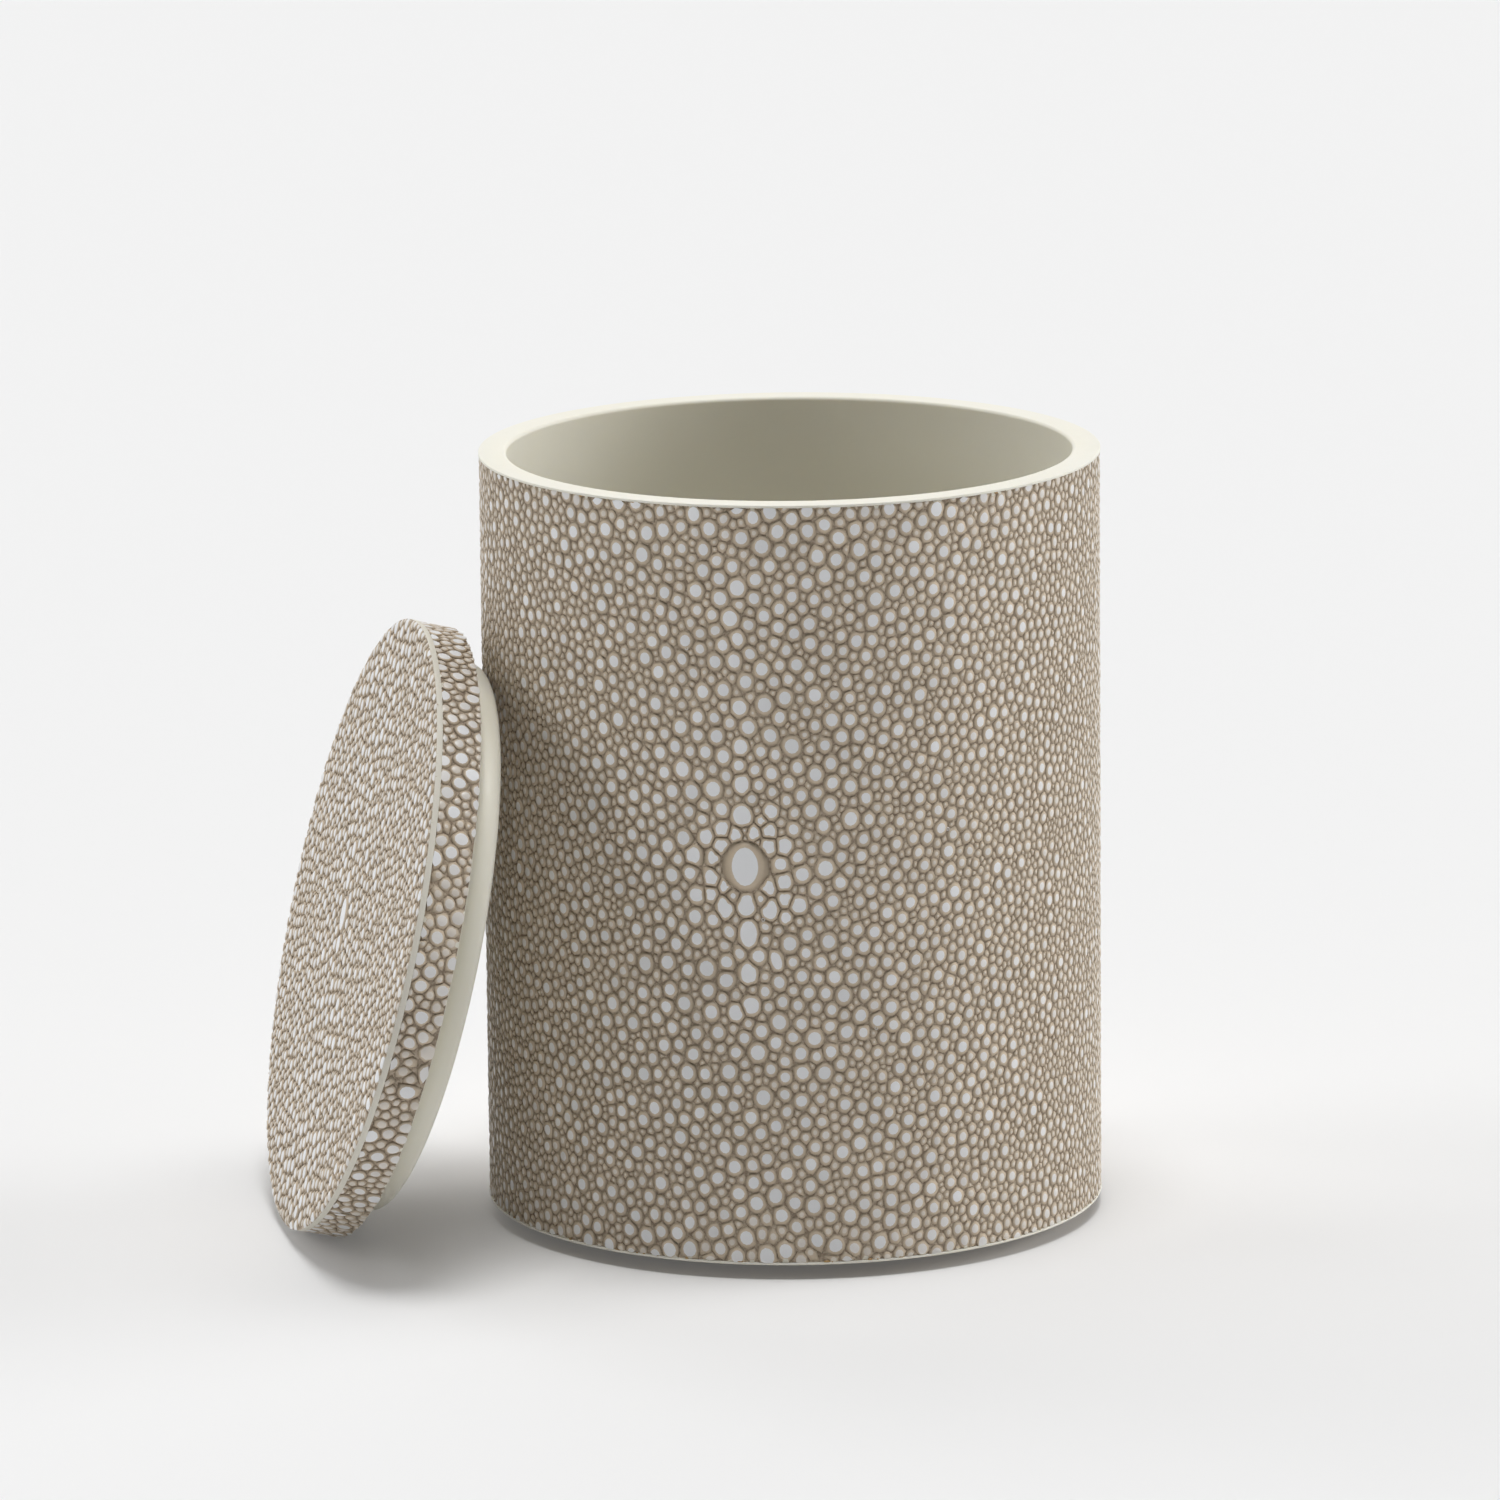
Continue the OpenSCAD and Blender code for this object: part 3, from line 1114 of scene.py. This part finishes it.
# A strip of the same pebbled sheet is glued round the lid's edge, with its ends butted low
# at the back. Its pebbles are all of one mix, and its valleys are deeper than the body's.
band_seam = np.radians(215)
band_length = 2 * np.pi * outer_r - seam_w
band_valley = 0.38 * mm
band_area = 2.95 * mm**2
band_groups = pebbles(
    seed=31,
    low=(-beyond, -beyond),
    high=(band_length + beyond, core_t + beyond),
    cell_area=lambda centres: np.full(len(centres), band_area),
    spine=(),
    cut=strip_cut((0, 0), (band_length, core_t)),
    stretch=1.0,
    large_share=0.42,
    flank_w=0.63 * mm,
)


def round_lid(across, up, deep):
    """Wraps the strip round the lid, from one side of its seam to the other."""
    angle = band_seam + (across + seam_w / 2) / outer_r
    radius = outer_r - deep
    return leaning(np.stack([radius * np.cos(angle), radius * np.sin(angle), up + 0 * deep], -1))


pebble_piece(
    "lid_edge_pebbles",
    band_groups,
    lambda centres: np.ones(len(centres), bool),
    round_lid,
    bake_square((0, 0), (band_length, core_t), 6),
    "lid",
    band_valley,
    np.random.default_rng(33),
)
band_ground_r = outer_r - band_valley + ground_lift
band_start = band_seam + half_seam
band_end = band_seam + 2 * np.pi - half_seam
band_backing = backing(
    "lid_edge_sheet",
    eased(
        [(wall_r, 0), (wall_r, core_t), (band_ground_r, core_t), (band_ground_r, 0)],
        [0.02 * mm, 0.02 * mm, 0.05 * mm, 0.05 * mm],
        hold=0.02 * mm,
    ),
    np.linspace(band_start, band_end, turns_round),
    leaning,
    "lid",
)
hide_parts("lid_edge_band")


# A round of the sheet covers the lid's top. Its cut edge shows all round: half pebbles
# above a thin cream line of backing, rubbed a little round by use. It has a spine of its
# own, which leans, with a long pebble off the middle.
top_valley = 0.42 * mm
rolled = 0.8 * mm
roll_drop = 0.25 * mm
lid_spine_lean = np.radians(16)
lid_eye_back = 5.8 * mm
lid_spine_w = 17 * mm


def disc_cut(radius):
    """A sheet cut to a round: pulls centres inside, and measures to the circle ahead."""

    def pulled(centres):
        out = np.sqrt((centres**2).sum(1, keepdims=True))
        return centres * np.minimum(1, (radius - cut_margin) / np.maximum(out, speck))

    def to_edge(centres, ways):
        along = (centres[:, None] * ways).sum(2)
        return np.sqrt(along**2 + radius**2 - (centres**2).sum(1)[:, None]) - along

    return pulled, to_edge


def lid_cell_area(centres):
    """Mean cell area on the lid: largest along its spine, and falling off to both sides."""
    away = -centres[:, 0] * np.sin(lid_spine_lean)
    away += (centres[:, 1] - lid_eye_back) * np.cos(lid_spine_lean)
    return (3.2 + 0.9 * np.exp(-((away / lid_spine_w) ** 2))) * mm**2


# The lid's long pebbles, in the same order of values as the body's.
lid_spine = (
    (0.2, 5.9, 1.7, 2.75, -74, 1.9, 1.2),
    (5.6, 8.0, 1.05, 1.6, -74, 2.0, 0.5),
    (10.6, 8.9, 1.05, 1.5, -74, 2.0, 0.5),
    (-4.6, 4.4, 1.15, 1.55, -74, 2.2, 0.5),
)
disc_groups = pebbles(
    seed=51,
    low=(-outer_r - beyond, -outer_r - beyond),
    high=(outer_r + beyond, outer_r + beyond),
    cell_area=lid_cell_area,
    spine=lid_spine,
    cut=disc_cut(outer_r),
    stretch=1.0,
    large_share=0.60,
    flank_w=0.64 * mm,
)


def over_lid(across, up, deep):
    """Lays the flat sheet on the lid's top: across runs up the lean, and up runs back. Its
    edge is rubbed round: it drops by the square of how far it runs into the rolled border."""
    border = (1 - (outer_r - np.hypot(across, up)) / rolled).clip(0, 1)
    height = lid_t - deep - roll_drop * border**2
    return leaning(np.stack([across, up, height], -1))


disc_tones = np.random.default_rng(53)
for part in range(4):
    side_u, side_v = (-1, 1)[part % 2], (-1, 1)[part // 2]
    corner = np.array([side_u, side_v]) * outer_r

    def in_quarter(centres):
        return (centres[:, 0] * side_u >= 0) & (centres[:, 1] * side_v > 0)

    pebble_piece(
        f"lid_top_pebbles_{part + 1}",
        disc_groups,
        in_quarter,
        over_lid,
        bake_square(np.minimum(0, corner), np.maximum(0, corner), 1),
        "lid",
        top_valley,
        disc_tones,
    )

ground_z = lid_t - top_valley + ground_lift
top_profile = np.array(
    [
        (0, core_t),
        (outer_r - 0.1 * mm, core_t),
        (outer_r - 0.02 * mm, core_t + 0.02 * mm),
        (outer_r, core_t + 0.08 * mm),
        (outer_r, ground_z - 0.05 * mm),
        (outer_r - 0.02 * mm, ground_z),
        (outer_r - 0.08 * mm, ground_z),
        (0, ground_z),
    ]
)
top_sheet = leaning_disc("lid_top_sheet", top_profile, "pebbled_sheet", pebble_glaze)
# Its faces come as four bare rings up the edge, a glazed one, the bare underside and the
# glazed top.
bare = np.repeat([True] * 4 + [False, True, False], steps_round)
marked(top_sheet, "cut", "FACE", bare)
marked(top_sheet, "coat", "POINT", np.full(len(top_sheet.data.vertices), ground_coat))
top_sheet.data.set_sharp_from_angle(angle=crease)
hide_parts("lid_top_skin")
